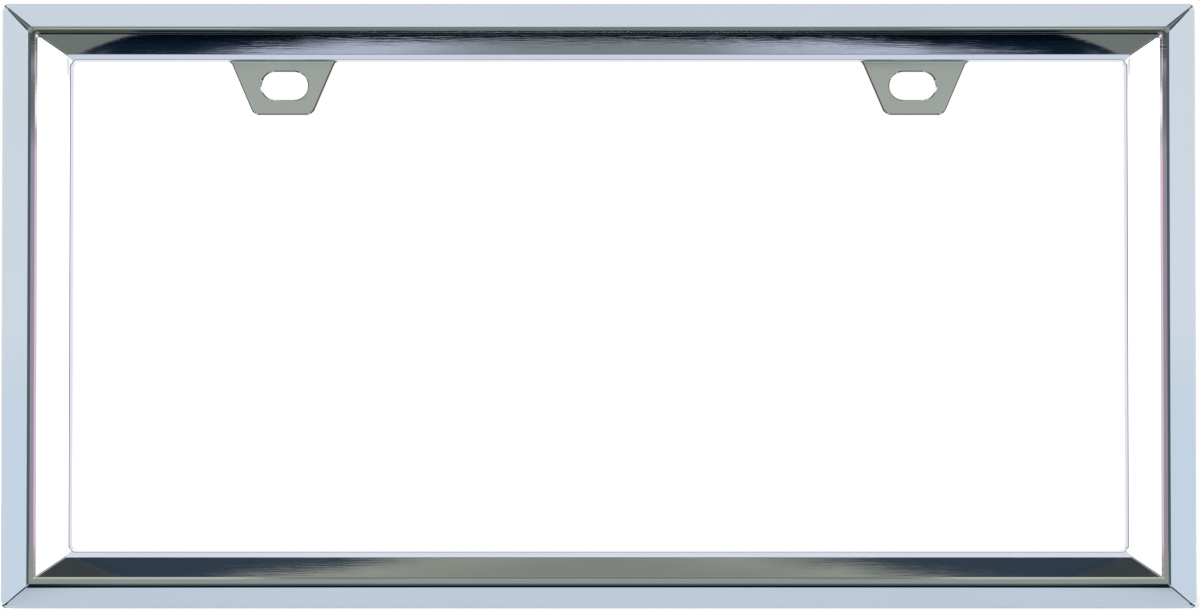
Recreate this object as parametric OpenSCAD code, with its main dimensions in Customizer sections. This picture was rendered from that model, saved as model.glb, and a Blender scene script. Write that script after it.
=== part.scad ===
// Number plate frame: one cast and plated moulding, mitred at its corners, hollow behind,
// with two slotted tabs on the inside of its top rail.
// It stands upright and faces -Y, with +X to the right seen from the front and +Z up.
// The origin is the centre of the whole frame.

/* [Frame] */
// Width across the outer edges
frame_w = 333; // [300:1:380]
// Height across the outer edges
frame_h = 168.5; // [140:0.5:220]
// Depth from the rear edge to the crest of the moulding
frame_depth = 10; // [8:0.1:14]
// Radius of the four outer corners, seen from the front
corner_r = 1.8; // [0.5:0.1:3]
// Width of each side rail, wider than the top and bottom rails
side_rail_w = 17.9; // [14:0.1:24]

/* [Moulding section] */
// Width of the outer band of the top and bottom rails
band_w = 6.85; // [5:0.05:10]
// How far the outer edge of the band lies behind the crest
edge_drop = 2.5; // [1:0.1:3.5]
// Width of the flat crest
ridge_w = 1.85; // [1.5:0.05:4]
// Width of the inner slope, from the crest down to the lip
slope_w = 4.7; // [3:0.05:9]
// Width of the lip around the opening
lip_w = 1.7; // [1.2:0.05:6]
// Thickness of the lip where the slope meets it
lip_root_t = 3.7; // [3:0.1:4.4]
// Thickness of the lip at its edge, more than the tabs that leave it below
lip_edge_t = 2.7; // [2:0.1:3]
// Wall of the hollow moulding
wall = 1.2; // [0.8:0.1:1.8]
// Radius that blends the band into the crest
crown_r = 2.6; // [1:0.1:4]
// Small radius on the other long edges
edge_r = 0.6; // [0.2:0.05:0.7]
// Radius of the four corners of the opening
opening_r = 2; // [1:0.1:6]

/* [Tabs] */
// Width of a tab where it leaves the lip
tab_root_w = 29.6; // [24:0.1:45]
// Width of a tab along its lower edge, before the corners are rounded
tab_end_w = 16.5; // [14:0.1:24]
// How far a tab reaches below the lip
tab_drop = 15.2; // [13:0.1:22]
// Thickness of a tab
tab_t = 1.2; // [0.8:0.1:1.8]
// Radius of the lower corners of a tab
tab_corner_r = 2; // [0.5:0.1:4]
// Radius where the sides of a tab run into the lip
tab_root_r = 2; // [0.4:0.1:2.5]

/* [Screw slots] */
// Distance between the centres of the two slots
slot_spacing = 177.8; // [165:0.1:190]
// Length of a slot from end to end
slot_len = 13.2; // [10:0.1:15]
// Width of a slot
slot_w = 8; // [5:0.1:9]
// How far the centre of a slot lies below the lip
slot_drop = 7; // [5.5:0.1:8.5]

/* [Hidden] */
$fn = 64;
chrome_colour = [0.80, 0.82, 0.84];
// Angle that one facet of a rounded edge turns through
arc_step = 7;
// Most of the crest that the crown radius may take
crown_share = 0.6;
// How far cutting shapes reach past what they cut
margin = 1;
// How far a tab's root reaches into the lip
bite = 0.6;

rail_w = band_w + ridge_w + slope_w + lip_w;
side_stretch = side_rail_w / rail_w;
opening_w = frame_w - 2 * side_rail_w;
opening_h = frame_h - 2 * rail_w;
band_tilt = atan(edge_drop / band_w);
slope_tilt = atan((frame_depth - lip_root_t) / slope_w);
crown = min(crown_r, crown_share * ridge_w / tan(band_tilt / 2));

// Corners of the section, as [distance in from the outer edge, height above the rear plane]
band_edge = [-margin, frame_depth - edge_drop - margin * tan(band_tilt)];
ridge_start = [band_w, frame_depth];
ridge_end = [band_w + ridge_w, frame_depth];
lip_root = [rail_w - lip_w, lip_root_t];
lip_edge = [rail_w, lip_edge_t];

// Corners of the hollow, one wall inside the front face
hollow_h = frame_depth - wall;
hollow_band = [wall, frame_depth - edge_drop + wall * tan(band_tilt) - wall / cos(band_tilt)];
hollow_start = [band_w + wall * tan(band_tilt / 2), hollow_h];
hollow_end = [ridge_end[0] - wall * tan(slope_tilt / 2), hollow_h];
hollow_foot = [min(lip_root[0], hollow_end[0] + hollow_h / tan(slope_tilt)), 0];
hollow_slope = (hollow_foot[0] - hollow_end[0]) / hollow_h;

function unit(v) = v / norm(v);

// Points of the arc of radius r that rounds the corner at p between its neighbours a and b
function rounded(a, p, b, r) =
    let (
        u = unit(a - p),
        v = unit(b - p),
        half = acos(u * v) / 2,
        centre = p + unit(u + v) * r / sin(half),
        from = p + u * r / tan(half) - centre,
        to = p + v * r / tan(half) - centre,
        start = atan2(from[1], from[0]),
        turn = (atan2(to[1], to[0]) - start + 540) % 360 - 180,
        steps = max(2, ceil(abs(turn) / arc_step))
    )
    [for (i = [0:steps]) centre + r * [cos(start + turn * i / steps), sin(start + turn * i / steps)]];

// Outline of a rectangle with rounded corners, centred
function rounded_rectangle(w, h, r) =
    let (corners = [[w / 2, h / 2], [-w / 2, h / 2], [-w / 2, -h / 2], [w / 2, -h / 2]])
    [for (i = [0:3]) each rounded(corners[(i + 3) % 4], corners[i], corners[(i + 1) % 4], r)];

// Front of the section: the outer band, blended into the crest
function front_profile() = concat(
    [[-margin, -margin], band_edge],
    rounded(band_edge, ridge_start, ridge_end, crown)
);

// Inside of the section: from the edge of the crest down the slope to the lip
function pocket_profile() =
    let (crest_edge = rounded(ridge_start, ridge_end, lip_root, edge_r))
    concat(
        [[crest_edge[0][0], frame_depth + margin]],
        crest_edge,
        rounded(ridge_end, lip_root, lip_edge, edge_r),
        [lip_edge]
    );

// Top of the hollow behind the band and the crest
function hollow_profile() = [[wall, -margin], hollow_band, hollow_start];

// Side of the hollow behind the slope
function core_profile() = [
    [hollow_end[0] - margin * hollow_slope, hollow_h + margin],
    [hollow_foot[0] + margin * hollow_slope, -margin]
];

// A prism along X, with the profile facing out on both sides of the middle, half_size away
module crossbar(profile, half_size, stretch, length) {
    side = [for (p = profile) [half_size - p[0] * stretch, p[1]]];
    other_side = [for (i = [len(side) - 1:-1:0]) [-side[i][0], side[i][1]]];
    translate([-length / 2, 0, 0])
        rotate([90, 0, 90])
            linear_extrude(length) polygon(concat(side, other_side));
}

// The solid under a profile that runs round all four sides and meets in mitres
module mitred(profile) {
    reach = 4 * margin;
    intersection() {
        crossbar(profile, frame_h / 2, 1, frame_w + reach);
        rotate([0, 0, 90]) crossbar(profile, frame_w / 2, side_stretch, frame_h + reach);
    }
}

// The moulding, face up on its rear plane
module moulding() {
    difference() {
        intersection() {
            mitred(front_profile());
            linear_extrude(frame_depth + margin)
                polygon(rounded_rectangle(frame_w, frame_h, corner_r));
        }
        mitred(pocket_profile());
        translate([0, 0, -margin])
            linear_extrude(lip_root_t + 2 * margin)
                polygon(rounded_rectangle(opening_w, opening_h, opening_r));
        difference() {
            mitred(hollow_profile());
            mitred(core_profile());
        }
    }
}

// Outline of a tab below y = 0, with its root above
function tab_outline() =
    let (
        root = tab_root_w / 2,
        end = tab_end_w / 2,
        left_foot = [-end, -tab_drop],
        right_foot = [end, -tab_drop],
        left_root = rounded([-2 * root, 0], [-root, 0], left_foot, tab_root_r),
        right_root = rounded(right_foot, [root, 0], [2 * root, 0], tab_root_r)
    )
    concat(
        [[left_root[0][0], bite]],
        left_root,
        rounded([-root, 0], left_foot, right_foot, tab_corner_r),
        rounded(left_foot, right_foot, [root, 0], tab_corner_r),
        right_root,
        [[right_root[len(right_root) - 1][0], bite]]
    );

// One tab, flat and flush with the rear plane
module tab() {
    translate([0, opening_h / 2, 0]) linear_extrude(tab_t) polygon(tab_outline());
}

// The screw slot through a tab
module screw_slot() {
    straight = slot_len - slot_w;
    translate([0, opening_h / 2 - slot_drop, -margin]) {
        for (side = [-1, 1])
            translate([side * straight / 2, 0, 0]) cylinder(d = slot_w, h = tab_t + 2 * margin);
        translate([-straight / 2, -slot_w / 2, 0]) cube([straight, slot_w, tab_t + 2 * margin]);
    }
}

// Both copies of what belongs to a screw
module at_both_screws() {
    for (side = [-1, 1]) translate([side * slot_spacing / 2, 0, 0]) children();
}

module plate_frame() {
    color(chrome_colour)
        translate([0, frame_depth / 2, 0])
            rotate([90, 0, 0])
                difference() {
                    union() {
                        moulding();
                        at_both_screws() tab();
                    }
                    at_both_screws() screw_slot();
                }
}

plate_frame();
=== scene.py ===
"""Looks of a chrome number plate frame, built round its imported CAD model.

Lengths named in the section below are millimetres, and the mesh is in metres.
"""
import math

import bmesh
import bpy
from mathutils import Matrix, Vector

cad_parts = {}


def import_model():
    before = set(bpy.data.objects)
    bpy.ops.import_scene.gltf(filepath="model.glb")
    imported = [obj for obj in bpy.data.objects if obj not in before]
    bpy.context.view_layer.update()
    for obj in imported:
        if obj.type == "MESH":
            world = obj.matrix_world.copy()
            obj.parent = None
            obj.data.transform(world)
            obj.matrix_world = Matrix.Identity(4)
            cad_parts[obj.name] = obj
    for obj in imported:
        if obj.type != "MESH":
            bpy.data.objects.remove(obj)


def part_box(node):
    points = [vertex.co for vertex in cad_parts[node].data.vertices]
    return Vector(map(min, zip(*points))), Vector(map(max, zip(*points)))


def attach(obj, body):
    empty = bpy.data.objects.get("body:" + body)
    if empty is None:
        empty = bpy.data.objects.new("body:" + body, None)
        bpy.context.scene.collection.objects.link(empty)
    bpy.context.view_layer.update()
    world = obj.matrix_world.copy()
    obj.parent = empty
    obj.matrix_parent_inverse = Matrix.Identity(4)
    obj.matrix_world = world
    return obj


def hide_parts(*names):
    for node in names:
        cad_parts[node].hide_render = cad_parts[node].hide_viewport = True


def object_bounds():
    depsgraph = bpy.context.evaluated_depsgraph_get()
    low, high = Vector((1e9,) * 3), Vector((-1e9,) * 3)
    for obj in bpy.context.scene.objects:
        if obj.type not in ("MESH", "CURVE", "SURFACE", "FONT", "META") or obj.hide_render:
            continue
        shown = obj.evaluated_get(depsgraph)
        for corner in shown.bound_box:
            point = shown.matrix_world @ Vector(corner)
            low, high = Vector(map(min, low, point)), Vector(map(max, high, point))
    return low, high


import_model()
cad_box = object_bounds()

NODE = "plate_frame"
MM = 0.001

# Section of the moulding, as part.scad has it
LOW, HIGH = (Vector(corner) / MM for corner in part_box(NODE))
WIDTH, DEPTH, HEIGHT = HIGH - LOW
EDGE_DROP = 2.5
BAND_W = 6.85
RIDGE_W = 1.85
SLOPE_W = 4.7
LIP_W = 1.7
LIP_ROOT_T = 3.7
LIP_EDGE_T = 2.7
WALL = 1.2
RAIL_W = BAND_W + RIDGE_W + SLOPE_W + LIP_W

# Where the edges of the section lie on each rail, measured from the outer edge
SECTION_INSETS = (0, BAND_W, BAND_W + RIDGE_W, RAIL_W - LIP_W, RAIL_W)
TOP_INSETS = (0, 7.2, 8.7, 13.5, 15.0)
BOTTOM_INSETS = (0, 6.5, 8.7, 13.5, 14.95)
SIDE_INSETS = (0, 8.15, 10.2, 16.7, 17.5)

# Roundings along the section, each a radius and how many steps its arc has
RIM = (0.25, 4)
CROWN = (3.6, 6)
LEDGE = (0.15, 3)
LEDGE_FOOT = (0.05, 4)
LIP_ROOT = (0.6, 5)
LIP_EDGE = (0.5, 4)
REAR = (0.2, 3)
HOLLOW = (0.7, 5)
HOLLOW_CREST = (0.35, 2)

# Small forms of the section
LEDGE_W = 0.5
LEDGE_TILT = math.radians(20)
SLOPE_BULGE = 0.02
SLOPE_STEPS = 8
# Where extra rings lie across the band and across the lip, as shares of their width
BAND_SHARES = (0.12, 0.25, 0.5, 0.75)
LIP_SHARES = (0.2, 0.6)

# Roundings of the corners, seen from the front
OUTER_R = 1.8
OPENING_R = 2.0
MITRE_R = 0.35
TOP_MITRE_R = 1.4
VALLEY_R = 0.5
HOLLOW_MITRE_R = 0.7
# Steps of one corner, and of one long and one short rail
ARC_STEPS = 8
LONG_STEPS = 40
SHORT_STEPS = 20

# Tabs and their slots
TAB_ROOT_W = 29.6
TAB_END_W = 16.5
TAB_DROP = 15.2
TAB_T = 1.2
TAB_CORNER = (2.5, 10)
TAB_SHIFT = 0.5
TAB_ROOT = (2.0, 8)
TAB_FILLET_R = 0.25
TAB_FILLET_STEPS = 5
TAB_EDGE_W = 0.27
SLOT_SPACING = 177.8
SLOT_LEN = 13.2
SLOT_W = 8.0
SLOT_DROP = 7.0
SLOT_STEPS = 24
# How far a tab's root reaches into the lip, and how far its fillet stays clear of the lip's wall
BITE = 0.8
SHY = 0.03
# How far cutting shapes reach past what they cut
MARGIN = 1.0

# Limits for cleaning the mesh
WELD = 0.002
FLAT_ANGLE = math.radians(0.5)
CREASE_ANGLE = math.radians(35)
SHARP_ANGLE = math.radians(60)

# The photograph's camera, in metres but for its lens and sensor
LENS = 50.0
SENSOR = 36.0
CLIP_START = 0.01
CAMERA_DISTANCE = 0.4673
CAMERA_ELEVATION = math.radians(-0.6)
CAMERA_SHIFT_X = 0.0011

# Chrome: the depths of its relief in millimetres, and scales in waves a metre
CHROME_TINT = (0.90, 0.905, 0.91)
ROUGHNESS = (0.02, 0.06)
SMEAR_SCALE = 60
RIPPLE_DEPTH = 0.03
RIPPLE_SCALE = 45
RIPPLE_STRETCH = (0.3, 1, 1)
POLISH_DEPTH = 0.008
POLISH_SCALE = 2500
POLISH_STRETCH = (0.05, 1, 1)
POLISH_EVERYWHERE = 0.08
POLISH_ON_SLOPES = 0.56
SLOPE_START = 0.4
SLOPE_SOFT = 0.4

# Studio, in metres
PAINTED_REFLECTION_RADIUS = 30.0
FLOOR_SIZE = 40.0
FLOOR_GREY = 0.5
FLOOR_FADE = 0.9
FLOOR_FADE_SOFT = 0.5
WORLD_LIGHT = 0.75
LAMP_SIZE = 1.0
LAMP_POWER = 25
LAMP_PLACE = Vector((-0.3, -0.4, 1.8))


def arc(before, corner, after, radius, steps):
    """Points that round a corner between its neighbours."""
    before, corner, after = Vector(before), Vector(corner), Vector(after)
    u = (before - corner).normalized()
    v = (after - corner).normalized()
    half = u.angle(v) / 2
    centre = corner + (u + v).normalized() * radius / math.sin(half)
    start = corner + u * radius / math.tan(half) - centre
    end = corner + v * radius / math.tan(half) - centre
    turn = math.atan2(start.x * end.y - start.y * end.x, start.dot(end))
    points = []
    for i in range(steps + 1):
        angle = turn * i / steps
        cos, sin = math.cos(angle), math.sin(angle)
        points.append(centre + Vector((start.x * cos - start.y * sin, start.x * sin + start.y * cos)))
    return points


def bulged(start, end, bulge, steps):
    """Points between two ends, on a line that swells by bulge at its middle."""
    start, end = Vector(start), Vector(end)
    along = end - start
    side = Vector((-along.y, along.x)).normalized()
    return [start + along * t + side * bulge * 4 * t * (1 - t) for t in (i / steps for i in range(1, steps))]


def section():
    """The closed section, as a ring for each point.

    A ring is (inset from the outer edge, height above the rear, top corner radius, bottom corner
    radius, rise). The rise is how steeply the ring climbs inwards at its rounded corners, so that
    the two faces that meet there stay flat.
    """
    rear_rim = (0, 0)
    rim = (0, DEPTH - EDGE_DROP)
    crest_start = (BAND_W, DEPTH)
    crest_end = (BAND_W + RIDGE_W - LEDGE_W / 2, DEPTH)
    ledge_end = (crest_end[0] + LEDGE_W, DEPTH - LEDGE_W * math.tan(LEDGE_TILT))
    lip_root = (RAIL_W - LIP_W, LIP_ROOT_T)
    lip_edge = (RAIL_W, LIP_EDGE_T)
    rear_lip = (RAIL_W, 0)
    band_tilt = math.atan2(EDGE_DROP, BAND_W)
    lip_slope = (LIP_ROOT_T - LIP_EDGE_T) / LIP_W
    slope_tilt = math.atan2(DEPTH - LIP_ROOT_T, SLOPE_W)
    hollow_h = DEPTH - WALL
    hollow_band = (WALL, DEPTH - EDGE_DROP + WALL * math.tan(band_tilt) - WALL / math.cos(band_tilt))
    hollow_start = (BAND_W + WALL * math.tan(band_tilt / 2), hollow_h)
    hollow_end = (BAND_W + RIDGE_W - WALL * math.tan(slope_tilt / 2), hollow_h)
    hollow_foot = (min(lip_root[0], hollow_end[0] + hollow_h / math.tan(slope_tilt)), 0)
    rear_wall = (WALL, 0)

    rings = []

    def add(points, top_r, bottom_r=None, rise=0.0):
        for point in points:
            rings.append((point[0], point[1], top_r, top_r if bottom_r is None else bottom_r, rise))

    add(arc(rear_wall, rear_rim, rim, *REAR), OUTER_R)
    add(arc(rear_rim, rim, crest_start, *RIM), OUTER_R, rise=math.tan(band_tilt))
    band = arc(rim, crest_start, crest_end, *CROWN)
    rim_end = Vector((rings[-1][0], rings[-1][1]))
    for share in BAND_SHARES:
        point = rim_end.lerp(band[0], share)
        outer_r = OUTER_R - point.x
        top_r = MITRE_R + (TOP_MITRE_R - MITRE_R) * share
        rise = math.tan(band_tilt) if outer_r > top_r else 0
        add([point], max(outer_r, top_r), max(outer_r, MITRE_R), rise)
    add(band, TOP_MITRE_R, MITRE_R)
    ledge = arc(ledge_end, crest_end, crest_start, *LEDGE)[::-1]
    ledge += arc(crest_end, ledge_end, lip_root, *LEDGE_FOOT)
    lip_bend = arc(ledge_end, lip_root, lip_edge, *LIP_ROOT)
    add(ledge, TOP_MITRE_R, MITRE_R)
    add(bulged(ledge[-1], lip_bend[0], SLOPE_BULGE, SLOPE_STEPS), VALLEY_R)
    add(lip_bend, VALLEY_R)
    edge = arc(lip_root, lip_edge, rear_lip, *LIP_EDGE)
    add([lip_bend[-1].lerp(edge[0], share) for share in LIP_SHARES], VALLEY_R, rise=-lip_slope)
    add(edge, OPENING_R, rise=-lip_slope)
    add([rear_lip], OPENING_R)
    add(arc(rear_lip, hollow_foot, hollow_end, *REAR), VALLEY_R)
    add(arc(hollow_foot, hollow_end, hollow_start, *HOLLOW), VALLEY_R)
    add(arc(hollow_end, hollow_start, hollow_band, *HOLLOW_CREST), VALLEY_R)
    add(arc(hollow_start, hollow_band, rear_wall, *HOLLOW), HOLLOW_MITRE_R)
    add(arc(hollow_band, rear_wall, rear_rim, *REAR), HOLLOW_MITRE_R)
    return rings


def on_rail(inset, rail_insets):
    """The inset that a point of the section has on one rail."""
    last = len(SECTION_INSETS) - 1
    i = next((i for i in range(1, last) if inset <= SECTION_INSETS[i]), last)
    share = (inset - SECTION_INSETS[i - 1]) / (SECTION_INSETS[i] - SECTION_INSETS[i - 1])
    return rail_insets[i - 1] + share * (rail_insets[i] - rail_insets[i - 1])


def ring_points(inset, top_r, bottom_r):
    """One rounded rectangle round the frame, as (x, z, distance inside the sharp corner) points."""
    a = WIDTH / 2 - on_rail(inset, SIDE_INSETS)
    top = HEIGHT / 2 - on_rail(inset, TOP_INSETS)
    bottom = on_rail(inset, BOTTOM_INSETS) - HEIGHT / 2
    corners = [
        (a, top, top_r, 0),
        (-a, top, top_r, 90),
        (-a, bottom, bottom_r, 180),
        (a, bottom, bottom_r, 270),
    ]
    arcs = []
    for x, z, radius, start in corners:
        centre = (x - math.copysign(radius, x), z - math.copysign(radius, z))
        angles = [math.radians(start + 90 * i / ARC_STEPS) for i in range(ARC_STEPS + 1)]
        spread = [(centre[0] + radius * math.cos(t), centre[1] + radius * math.sin(t)) for t in angles]
        arcs.append([(p[0], p[1], max(0, min(abs(x - p[0]), abs(z - p[1])))) for p in spread])
    points = []
    for i, steps in enumerate((LONG_STEPS, SHORT_STEPS, LONG_STEPS, SHORT_STEPS)):
        points += arcs[i]
        start, end = Vector(arcs[i][-1]), Vector(arcs[(i + 1) % 4][0])
        points += [(*start.lerp(end, j / steps).xy, 0) for j in range(1, steps)]
    return points


def to_row(x, height, z):
    """A point of the row frame, in metres, from its height above the frame's rear plane."""
    return Vector((x, HIGH.y - height, z)) * MM


def from_front(x, z, height):
    """A point of the row frame, from its place in a front view and its height."""
    return to_row(x, height, z)


def from_side(z, height, x):
    """A point of the row frame, from its place in a side view and its distance along the rail."""
    return to_row(x, height, z)


def new_object(name, verts, faces):
    """A mesh object whose faces all look outwards."""
    mesh = bpy.data.meshes.new(name)
    mesh.from_pydata(verts, [], faces)
    bm = bmesh.new()
    bm.from_mesh(mesh)
    bmesh.ops.recalc_face_normals(bm, faces=bm.faces)
    bm.to_mesh(mesh)
    bm.free()
    obj = bpy.data.objects.new(name, mesh)
    bpy.context.scene.collection.objects.link(obj)
    return obj


def moulding():
    """The hollow moulding, lofted through rings that run round the frame."""
    verts, faces = [], []
    rings = section()
    for inset, height, top_r, bottom_r, rise in rings:
        points = ring_points(inset, top_r, bottom_r)
        verts += [to_row(x, height + rise * inside, z) for x, z, inside in points]
    count = len(verts) // len(rings)
    for i in range(len(rings)):
        here, there = i * count, (i + 1) % len(rings) * count
        for j in range(count):
            k = (j + 1) % count
            faces.append((here + j, here + k, there + k, there + j))
    return new_object("moulding", verts, faces)


def prism(name, outline, low, high, place):
    """A polygon carried from low to high, where place turns (first, second, carried) into a point."""
    count = len(outline)
    verts = [place(p[0], p[1], low) for p in outline] + [place(p[0], p[1], high) for p in outline]
    faces = [tuple(range(count)), tuple(range(count, 2 * count))]
    faces += [(i, (i + 1) % count, (i + 1) % count + count, i + count) for i in range(count)]
    return new_object(name, verts, faces)


def combine(target, tool, operation):
    """Applies a boolean of tool to target, and deletes tool."""
    modifier = target.modifiers.new("combine", "BOOLEAN")
    modifier.operation = operation
    modifier.solver = "MANIFOLD"
    modifier.object = tool
    mesh = bpy.data.meshes.new_from_object(target.evaluated_get(bpy.context.evaluated_depsgraph_get()))
    target.modifiers.clear()
    target.data = mesh
    bpy.data.objects.remove(tool)


def tab_outline(centre_x, root_z):
    """Outline of a tab seen from the front, with its root in the lip."""
    root, end = TAB_ROOT_W / 2, TAB_END_W / 2
    left_foot, right_foot = (-end, -TAB_DROP), (end, -TAB_DROP)
    left = arc((-2 * root, SHY), (-root, SHY), left_foot, *TAB_ROOT)
    right = arc(right_foot, (root, SHY), (2 * root, SHY), *TAB_ROOT)
    points = [(left[0].x, BITE)] + left
    points += arc((-root, 0), left_foot, right_foot, *TAB_CORNER)
    points += arc(left_foot, right_foot, (root, 0), *TAB_CORNER)
    points += right + [(right[-1].x, BITE)]
    return [(centre_x + p[0], root_z + p[1]) for p in points]


def tab_section(root_z):
    """Section of a tab as (z, height): flat, with a small fillet against the wall of the lip."""
    corner = (root_z + SHY, TAB_T)
    up_the_lip = (corner[0], LIP_EDGE_T)
    below, inside = root_z - 2 * TAB_DROP, root_z + 2 * BITE
    points = [(below, 0), (below, TAB_T)]
    points += arc((below, TAB_T), corner, up_the_lip, TAB_FILLET_R, TAB_FILLET_STEPS)
    points += [(inside, TAB_T + TAB_FILLET_R), (inside, TAB_T / 3), (root_z, 0)]
    return points


def slot_outline(slot_x, root_z):
    """Outline of a slot seen from the front: two half circles joined by straight sides."""
    straight = (SLOT_LEN - SLOT_W) / 2
    radius = SLOT_W / 2
    points = []
    for side, start in ((1, -90), (-1, 90)):
        for i in range(SLOT_STEPS + 1):
            angle = math.radians(start + 180 * i / SLOT_STEPS)
            x = slot_x + side * straight + radius * math.cos(angle)
            points.append((x, root_z - SLOT_DROP + radius * math.sin(angle)))
    return points


def tab(side):
    """One tab with its slot and its fine chamfered edges."""
    slot_x = side * SLOT_SPACING / 2
    centre_x = slot_x + side * TAB_SHIFT
    root_z = HEIGHT / 2 - TOP_INSETS[-1]
    left, right = centre_x - TAB_ROOT_W, centre_x + TAB_ROOT_W
    body = prism("tab", tab_outline(centre_x, root_z), -MARGIN, DEPTH, from_front)
    combine(body, prism("sheet", tab_section(root_z), left, right, from_side), "INTERSECT")
    combine(body, prism("slot", slot_outline(slot_x, root_z), -MARGIN, DEPTH, from_front), "DIFFERENCE")
    bm = bmesh.new()
    bm.from_mesh(body.data)
    bmesh.ops.dissolve_limit(bm, angle_limit=FLAT_ANGLE, verts=bm.verts, edges=bm.edges)
    sharp = [e for e in bm.edges if len(e.link_faces) == 2 and e.calc_face_angle() > SHARP_ANGLE]
    bmesh.ops.bevel(bm, geom=sharp, offset=TAB_EDGE_W * MM, segments=1, profile=0.5, affect="EDGES")
    bm.to_mesh(body.data)
    bm.free()
    return body


def dressed_frame():
    """The whole frame as one closed mesh, standing for the CAD node."""
    piece = moulding()
    for side in (-1, 1):
        combine(piece, tab(side), "UNION")
    piece.name = "chrome_plate_frame"
    bm = bmesh.new()
    bm.from_mesh(piece.data)
    bmesh.ops.remove_doubles(bm, verts=bm.verts, dist=WELD * MM)
    bmesh.ops.recalc_face_normals(bm, faces=bm.faces)
    for face in bm.faces:
        face.smooth = True
    for edge in bm.edges:
        edge.smooth = not (len(edge.link_faces) == 2 and edge.calc_face_angle() > CREASE_ANGLE)
    bm.to_mesh(piece.data)
    bm.free()
    normals = piece.modifiers.new("flat faces stay flat", "WEIGHTED_NORMAL")
    normals.mode = "FACE_AREA"
    normals.weight = 100
    normals.keep_sharp = True
    return piece


def new_material(name):
    """An empty node material, with its nodes and links."""
    material = bpy.data.materials.new(name)
    material.use_nodes = True
    nodes, links = material.node_tree.nodes, material.node_tree.links
    nodes.clear()
    return material, nodes, links


def noise(nodes, links, place, scale, detail, stretch=(1, 1, 1)):
    """Noise with scale in waves a unit of place, slowed along an axis by stretch."""
    mapping = nodes.new("ShaderNodeMapping")
    mapping.inputs["Scale"].default_value = stretch
    texture = nodes.new("ShaderNodeTexNoise")
    texture.inputs["Scale"].default_value = scale
    texture.inputs["Detail"].default_value = detail
    links.new(place, mapping.inputs["Vector"])
    links.new(mapping.outputs["Vector"], texture.inputs["Vector"])
    return texture.outputs["Fac"]


def math_node(nodes, links, operation, *values):
    """The output of a maths node whose inputs are numbers or other nodes' outputs."""
    node = nodes.new("ShaderNodeMath")
    node.operation = operation
    for i, value in enumerate(values):
        if isinstance(value, (int, float)):
            node.inputs[i].default_value = value
        else:
            links.new(value, node.inputs[i])
    return node.outputs[0]


def soft_step(nodes, links, value, edge, soft):
    """A smooth step from 0 to 1 where value passes edge."""
    node = nodes.new("ShaderNodeMapRange")
    node.interpolation_type = "SMOOTHSTEP"
    node.inputs["From Min"].default_value = edge - soft
    node.inputs["From Max"].default_value = edge + soft
    links.new(value, node.inputs["Value"])
    return node.outputs["Result"]


def chrome():
    """Bright plating: a slow ripple from the casting, fine polishing lines, and faint smears in its gloss."""
    material, nodes, links = new_material("bright_chrome")
    out = nodes.new("ShaderNodeOutputMaterial")
    shader = nodes.new("ShaderNodeBsdfPrincipled")
    shader.inputs["Base Color"].default_value = (*CHROME_TINT, 1)
    shader.inputs["Metallic"].default_value = 1
    place = nodes.new("ShaderNodeTexCoord").outputs["Object"]
    gloss = nodes.new("ShaderNodeMapRange")
    gloss.inputs["To Min"].default_value, gloss.inputs["To Max"].default_value = ROUGHNESS
    smears = noise(nodes, links, place, SMEAR_SCALE, detail=3)
    links.new(smears, gloss.inputs["Value"])
    links.new(gloss.outputs["Result"], shader.inputs["Roughness"])
    ripple = nodes.new("ShaderNodeBump")
    ripple.inputs["Distance"].default_value = RIPPLE_DEPTH * MM
    waves = noise(nodes, links, place, RIPPLE_SCALE, detail=2, stretch=RIPPLE_STRETCH)
    links.new(waves, ripple.inputs["Height"])
    axes = nodes.new("ShaderNodeSeparateXYZ")
    links.new(place, axes.inputs["Vector"])
    away = math_node(nodes, links, "ABSOLUTE", axes.outputs["Z"])
    past_lip = soft_step(nodes, links, away, (HEIGHT / 2 - TOP_INSETS[3]) * MM, SLOPE_SOFT * MM)
    crest = HEIGHT / 2 - TOP_INSETS[2] - SLOPE_START
    past_slope = soft_step(nodes, links, away, crest * MM, SLOPE_SOFT * MM)
    on_slope = math_node(nodes, links, "SUBTRACT", past_lip, past_slope)
    strength = math_node(nodes, links, "MULTIPLY_ADD", on_slope, POLISH_ON_SLOPES, POLISH_EVERYWHERE)
    polish = nodes.new("ShaderNodeBump")
    polish.inputs["Distance"].default_value = POLISH_DEPTH * MM
    links.new(strength, polish.inputs["Strength"])
    fine_lines = noise(nodes, links, place, POLISH_SCALE, detail=2, stretch=POLISH_STRETCH)
    links.new(fine_lines, polish.inputs["Height"])
    links.new(ripple.outputs["Normal"], polish.inputs["Normal"])
    links.new(polish.outputs["Normal"], shader.inputs["Normal"])
    links.new(shader.outputs["BSDF"], out.inputs["Surface"])
    return material


def srgb(r, g, b):
    """Linear colour of an 8-bit screen colour."""
    return tuple((c / 255 / 12.92) if c <= 10 else ((c / 255 + 0.055) / 1.055) ** 2.4 for c in (r, g, b))
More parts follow.
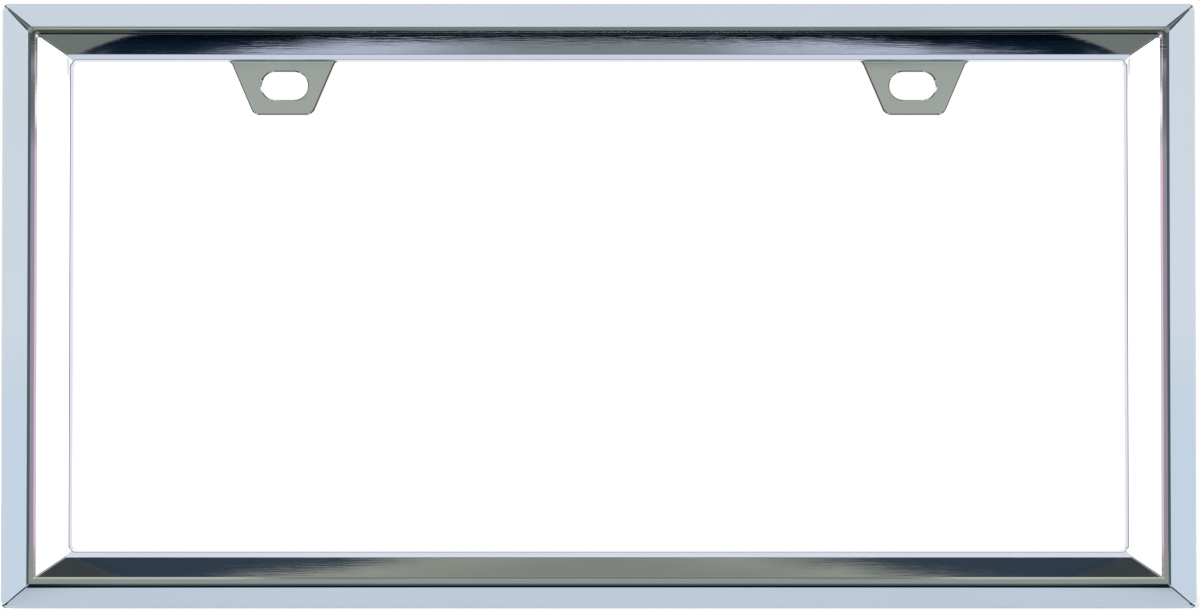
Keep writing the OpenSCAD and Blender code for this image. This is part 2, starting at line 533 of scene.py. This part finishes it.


# Painted reflections: cards round the frame, painted in this order on a sphere of directions, with the white
# world between them. Each is named by its colour and by its direction, or by the part of the frame whose
# highlight or dark reflection it paints.
# Each is (name, screen colour, |x| range, y range, z range, softness). A range's end beyond 1 is open.
PALE = (201, 211, 222)
PALE_DOWN = (188, 202, 216)
DARK_TEAL = (72, 92, 98)
CARDS = [
    ("pale above", PALE, (0, 2), (-2, -0.34), (0.66, 2), 0.02),
    ("lavender above", (215, 219, 233), (0, 2), (-0.56, -0.34), (0.66, 2), 0.02),
    ("pale below", PALE_DOWN, (0, 2), (-2, -0.42), (-2, -0.66), 0.02),
    ("lavender below", (200, 210, 227), (0, 2), (-0.56, -0.42), (-2, -0.66), 0.02),
    # Painted dark and tan reflections that fall on the mitres
    ("dark reflection on top mitres", (34, 44, 48), (0.40, 0.80), (-0.62, -0.26), (-0.90, -0.30), 0.02),
    ("tan reflection on low mitres", (132, 137, 128), (0.40, 0.80), (-0.62, -0.26), (0.30, 0.90), 0.02),
    ("high behind", (178, 192, 206), (0.36, 2), (0.29, 2), (0.16, 2), 0.05),
    ("low behind", (66, 76, 88), (0.36, 2), (0.29, 2), (-2, -0.16), 0.05),
    ("pale behind", (220, 225, 236), (0, 0.6), (0.88, 2), (-0.3, 0.3), 0.03),
    ("grey behind", (120, 129, 138), (0, 0.255), (0.90, 2), (-0.11, 0.11), 0.02),
    ("pale sides", (204, 214, 224), (0.66, 0.855), (-2, -0.30), (-0.30, 0.30), 0.012),
    ("blue low sides", (196, 211, 225), (0.66, 0.855), (-2, -0.30), (-0.30, -0.02), 0.03),
    ("bright sides", (280, 280, 280), (0.855, 2), (-0.60, 0.12), (-0.30, 0.30), 0.006),
    ("grey side line", (46, 52, 66), (0.50, 2), (0.0, 0.86), (-0.30, 0.30), 0.02),
    ("dark middle", DARK_TEAL, (0, 0.66), (-2, -0.05), (-0.66, 0.66), 0.02),
    # Painted reflections that fall on the corners of the frame
    ("dark reflection on corners", (38, 52, 58), (0.40, 0.74), (-2, -0.05), (0.24, 0.68), 0.02),
    ("grey reflection on corners", (104, 112, 117), (0.50, 0.66), (-2, -0.05), (0.36, 0.58), 0.03),
    ("dark reflection on low corners", (12, 24, 32), (0.30, 0.69), (-2, -0.05), (-0.72, -0.24), 0.03),
    ("soft reflection on high corners", (132, 141, 144), (0.38, 0.74), (-2, -0.71), (0.20, 0.66), 0.03),
    ("soft reflection on low corners", (150, 160, 170), (0.38, 0.74), (-2, -0.71), (-0.66, -0.20), 0.03),
    ("green above", (112, 122, 120), (0, 0.42), (-2, 0), (0.183, 0.66), 0.01),
    # A painted highlight on the ledge
    ("highlight on ledge", (176, 181, 173), (0.20, 0.33), (-2, 0), (0.40, 0.52), 0.02),
    ("navy below", (7, 25, 37), (0, 0.42), (-2, -0.5), (-0.72, -0.38), 0.02),
    ("purple middle", (150, 138, 156), (0.28, 0.36), (-2, 0), (-0.19, 0.18), 0.006),
    ("purple shade", (112, 106, 116), (0.28, 0.36), (-2, 0), (0.11, 0.145), 0.01),
    ("warm middle", (157, 163, 157), (0, 0.28), (-2, 0), (-0.14, 0.157), 0.003),
    # A painted pink reflection and a painted white glint on the ledge
    ("pink reflection on ledge", (214, 190, 208), (0.215, 0.28), (-2, 0), (-0.15, 0.105), 0.008),
    ("white glint on ledge", (250, 244, 248), (0.215, 0.28), (-2, 0), (0.114, 0.134), 0.004),
    ("pink middle", (250, 232, 244), (0, 0.12), (-2, 0), (-0.12, 0.10), 0.02),
    ("tan below", (140, 146, 136), (0, 0.42), (-2, 0), (-0.19, -0.132), 0.01),
    # Painted dark reflections on the ridge, then a small painted highlight
    ("navy reflection on ridge", (10, 20, 33), (0, 0.27), (-2, 0), (0.158, 0.183), 0.003),
    ("olive reflection on ridge", (66, 70, 62), (0.27, 0.37), (-2, 0), (0.153, 0.183), 0.004),
    ("small painted highlight", (420, 400, 420), (0, 0.14), (-2, 0), (0.142, 0.156), 0.004),
    ("grey below", (112, 118, 114), (0, 0.9), (-0.42, -0.18), (-2, -0.66), 0.02),
    ("slate below", (58, 66, 78), (0, 0.9), (-0.18, 0.05), (-2, -0.66), 0.02),
    ("slate above", (58, 64, 66), (0, 0.9), (-0.34, 0.05), (0.66, 2), 0.02),
    # Painted reflections on the inner corners, the tabs' edges and the slots' edges
    ("reflection on inner low corners", (120, 124, 122), (0.32, 0.95), (-0.28, 0.25), (0.28, 0.90), 0.02),
    ("dark reflection on inner top corners", (24, 34, 40), (0.32, 0.95), (-0.28, 0.25), (-0.90, -0.28), 0.02),
    ("plum reflection on tab edge", (92, 66, 77), (0.88, 0.96), (-0.225, -0.165), (-0.365, -0.295), 0.008),
    ("grey reflection on slot edge", (146, 142, 154), (0.93, 0.985), (-0.25, -0.14), (-0.24, 0.26), 0.01),
    ("navy behind below", (12, 27, 44), (0, 2), (0.02, 0.27), (-2, -0.70), 0.03),
    ("black behind below", (4, 8, 15), (0, 0.31), (0.02, 0.117), (-2, -0.70), 0.004),
    ("grey behind below", (112, 118, 116), (0.292, 0.9), (-0.02, 0.27), (-2, -0.70), 0.012),
    ("slate behind above", (47, 59, 72), (0, 2), (0.02, 0.22), (0.70, 2), 0.03),
    ("dark behind above", (52, 58, 58), (0.33, 0.9), (-0.02, 0.22), (0.62, 2), 0.012),
]
# The y and z ranges of the streaked cards, which lie behind the frame, and how soft their ends are
BELOW = ((0.117, 0.27), (-2, -0.7))
ABOVE = ((-0.05, 0.22), (0.7, 2))
STREAK_Y_SOFT = 0.003
STREAK_Z_SOFT = 0.03
# Streaked cards, painted reflections whose ragged edges show as streaks in the gloss of the slopes,
# as (name, screen colour, ranges, softness, y and |x| where the ragged edge starts, y and |x| where it ends)
STREAKED_REFLECTION_CARDS = [
    ("streaked blue reflection below", (172, 180, 200), BELOW, 0.012, 0.105, 0.120, 0.150, 0.225),
    ("streaked grey reflection below", (118, 127, 133), BELOW, 0.050, 0.105, 0.085, 0.150, 0.100),
    ("streaked tan reflection above", (142, 146, 138), ABOVE, 0.012, 0.118, 0.205, 0.165, 0.120),
    ("streaked grey reflection above", (126, 130, 124), ABOVE, 0.050, 0.118, 0.120, 0.165, 0.060),
]
STREAK_STRETCH = (14, 420, 60)
STREAK_REACH = 0.14
MOTTLE_SCALE = 7
MOTTLE = 0.10


def painted_reflections():
    """A far glowing shell of painted reflections: cards that only the gloss of the object sees, and that
    light nothing.
    """
    bpy.ops.mesh.primitive_uv_sphere_add(segments=64, ring_count=32, radius=PAINTED_REFLECTION_RADIUS)
    ball = bpy.context.object
    ball.name = "painted_reflection_shell"
    material, nodes, links = new_material("cards")
    out = nodes.new("ShaderNodeOutputMaterial")
    glow = nodes.new("ShaderNodeEmission")
    clear = nodes.new("ShaderNodeBsdfTransparent")
    place = nodes.new("ShaderNodeTexCoord")
    unit = nodes.new("ShaderNodeVectorMath")
    unit.operation = "NORMALIZE"
    links.new(place.outputs["Object"], unit.inputs[0])
    way = unit.outputs["Vector"]
    axes = nodes.new("ShaderNodeSeparateXYZ")
    links.new(way, axes.inputs["Vector"])
    y, z = axes.outputs["Y"], axes.outputs["Z"]
    across = math_node(nodes, links, "ABSOLUTE", axes.outputs["X"])
    state = {"colour": None, "cover": None}

    def within(value, span, soft, mask):
        """The mask, cut down to where value lies in span. An edge beyond 1, or of |x| at 0, is open."""
        for edge, rising in ((span[0], True), (span[1], False)):
            if abs(edge) > 1 or (value is across and edge == 0):
                continue
            step = soft_step(nodes, links, value, edge, soft)
            if not rising:
                step = math_node(nodes, links, "SUBTRACT", 1, step)
            mask = step if mask is None else math_node(nodes, links, "MULTIPLY", mask, step)
        return mask

    def paint(name, screen, mask):
        mix = nodes.new("ShaderNodeMix")
        mix.label = name
        mix.data_type = "RGBA"
        links.new(mask, mix.inputs["Factor"])
        if state["colour"] is None:
            mix.inputs["A"].default_value = (1, 1, 1, 1)
            state["cover"] = mask
        else:
            links.new(state["colour"], mix.inputs["A"])
            state["cover"] = math_node(nodes, links, "MAXIMUM", state["cover"], mask)
        mix.inputs["B"].default_value = (*(c / t for c, t in zip(srgb(*screen), CHROME_TINT)), 1)
        state["colour"] = mix.outputs["Result"]

    for name, screen, x_range, y_range, z_range, soft in CARDS:
        mask = within(across, x_range, soft, None)
        mask = within(y, y_range, soft, mask)
        mask = within(z, z_range, soft, mask)
        paint(name, screen, mask)

    # Ragged edges for the streaked cards, which paint streaks into the reflections of the slopes
    streaks = noise(nodes, links, way, 1, detail=3, stretch=STREAK_STRETCH)
    ragged = math_node(nodes, links, "MULTIPLY_ADD", streaks, 2 * STREAK_REACH, -STREAK_REACH)
    for name, screen, (y_range, z_range), soft, y_start, x_start, y_end, x_end in STREAKED_REFLECTION_CARDS:
        edge = nodes.new("ShaderNodeMapRange")
        edge.inputs["From Min"].default_value = y_start
        edge.inputs["From Max"].default_value = y_end
        edge.inputs["To Min"].default_value = x_start
        edge.inputs["To Max"].default_value = x_end
        links.new(y, edge.inputs["Value"])
        straight = math_node(nodes, links, "SUBTRACT", edge.outputs["Result"], across)
        inside = math_node(nodes, links, "ADD", straight, ragged)
        mask = soft_step(nodes, links, inside, 0, soft)
        mask = within(y, y_range, STREAK_Y_SOFT, mask)
        mask = within(z, z_range, STREAK_Z_SOFT, mask)
        paint(name, screen, mask)

    # The painted reflections glow a little brighter and darker at random.
    mottle = noise(nodes, links, way, MOTTLE_SCALE, detail=2)
    level = math_node(nodes, links, "MULTIPLY_ADD", mottle, MOTTLE, 1 - MOTTLE / 2)
    links.new(level, glow.inputs["Strength"])
    links.new(state["colour"], glow.inputs["Color"])
    mix = nodes.new("ShaderNodeMixShader")
    links.new(state["cover"], mix.inputs["Fac"])
    links.new(clear.outputs["BSDF"], mix.inputs[1])
    links.new(glow.outputs["Emission"], mix.inputs[2])
    links.new(mix.outputs["Shader"], out.inputs["Surface"])
    ball.data.materials.append(material)
    ball.visible_camera = False
    ball.visible_diffuse = False
    ball.visible_transmission = False
    ball.visible_shadow = False


def background_rays(nodes, links):
    """One where a ray sees the background straight, in gloss or through glass."""
    path = nodes.new("ShaderNodeLightPath")
    mask = math_node(nodes, links, "MAXIMUM", path.outputs["Is Camera Ray"], path.outputs["Is Glossy Ray"])
    return math_node(nodes, links, "MAXIMUM", mask, path.outputs["Is Transmission Ray"])


def floor():
    """A plain pale floor that keeps a soft shadow, and fades into the white background."""
    bpy.ops.mesh.primitive_plane_add(size=FLOOR_SIZE, location=(0, 0, cad_box[0][2]))
    ground = bpy.context.object
    ground.name = "floor"
    material, nodes, links = new_material("pale_floor")
    out = nodes.new("ShaderNodeOutputMaterial")
    paint = nodes.new("ShaderNodeBsdfDiffuse")
    paint.inputs["Color"].default_value = (FLOOR_GREY, FLOOR_GREY, FLOOR_GREY, 1)
    near = nodes.new("ShaderNodeEmission")
    seen = background_rays(nodes, links)
    links.new(math_node(nodes, links, "MULTIPLY", seen, 1 - FLOOR_GREY), near.inputs["Strength"])
    far = nodes.new("ShaderNodeEmission")
    links.new(seen, far.inputs["Strength"])
    both = nodes.new("ShaderNodeAddShader")
    links.new(paint.outputs["BSDF"], both.inputs[0])
    links.new(near.outputs["Emission"], both.inputs[1])
    place = nodes.new("ShaderNodeTexCoord")
    length = nodes.new("ShaderNodeVectorMath")
    length.operation = "LENGTH"
    links.new(place.outputs["Object"], length.inputs[0])
    fade = soft_step(nodes, links, length.outputs["Value"], FLOOR_FADE, FLOOR_FADE_SOFT)
    mix = nodes.new("ShaderNodeMixShader")
    links.new(fade, mix.inputs["Fac"])
    links.new(both.outputs["Shader"], mix.inputs[1])
    links.new(far.outputs["Emission"], mix.inputs[2])
    links.new(mix.outputs["Shader"], out.inputs["Surface"])
    ground.data.materials.append(material)
    ground.visible_glossy = False


def world():
    """White where it is seen, and a plain level where it lights."""
    scene_world = bpy.data.worlds.new("studio")
    bpy.context.scene.world = scene_world
    scene_world.use_nodes = True
    nodes, links = scene_world.node_tree.nodes, scene_world.node_tree.links
    nodes.clear()
    out = nodes.new("ShaderNodeOutputWorld")
    seen = nodes.new("ShaderNodeBackground")
    light = nodes.new("ShaderNodeBackground")
    light.inputs["Strength"].default_value = WORLD_LIGHT
    for shade in (seen, light):
        shade.inputs["Color"].default_value = (1, 1, 1, 1)
    mix = nodes.new("ShaderNodeMixShader")
    links.new(background_rays(nodes, links), mix.inputs["Fac"])
    links.new(light.outputs["Background"], mix.inputs[1])
    links.new(seen.outputs["Background"], mix.inputs[2])
    links.new(mix.outputs["Shader"], out.inputs["Surface"])


def lamp():
    """One large soft lamp above."""
    data = bpy.data.lights.new("softbox", "AREA")
    data.size = LAMP_SIZE
    data.energy = LAMP_POWER
    lamp_object = bpy.data.objects.new("softbox", data)
    lamp_object.location = LAMP_PLACE
    lamp_object.rotation_euler = (-LAMP_PLACE).to_track_quat("-Z", "Y").to_euler()
    lamp_object.visible_glossy = False
    bpy.context.scene.collection.objects.link(lamp_object)


def camera():
    """The camera at the photograph's place, a little below the middle of the frame."""
    data = bpy.data.cameras.new("camera")
    data.lens = LENS
    data.sensor_width = SENSOR
    data.shift_x = CAMERA_SHIFT_X
    data.clip_start = CLIP_START
    camera_object = bpy.data.objects.new("camera", data)
    tilt = Matrix.Rotation(-CAMERA_ELEVATION, 4, "X")
    back = Matrix.Translation((0, -CAMERA_DISTANCE, 0))
    upright = Matrix.Rotation(math.pi / 2, 4, "X")
    camera_object.matrix_world = tilt @ back @ upright
    bpy.context.scene.collection.objects.link(camera_object)
    bpy.context.scene.camera = camera_object


camera()
world()
lamp()
floor()
painted_reflections()

piece = dressed_frame()
piece.data.materials.clear()
piece.data.materials.append(chrome())
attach(piece, "root")
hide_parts(NODE)

bpy.context.scene.view_settings.view_transform = "Standard"
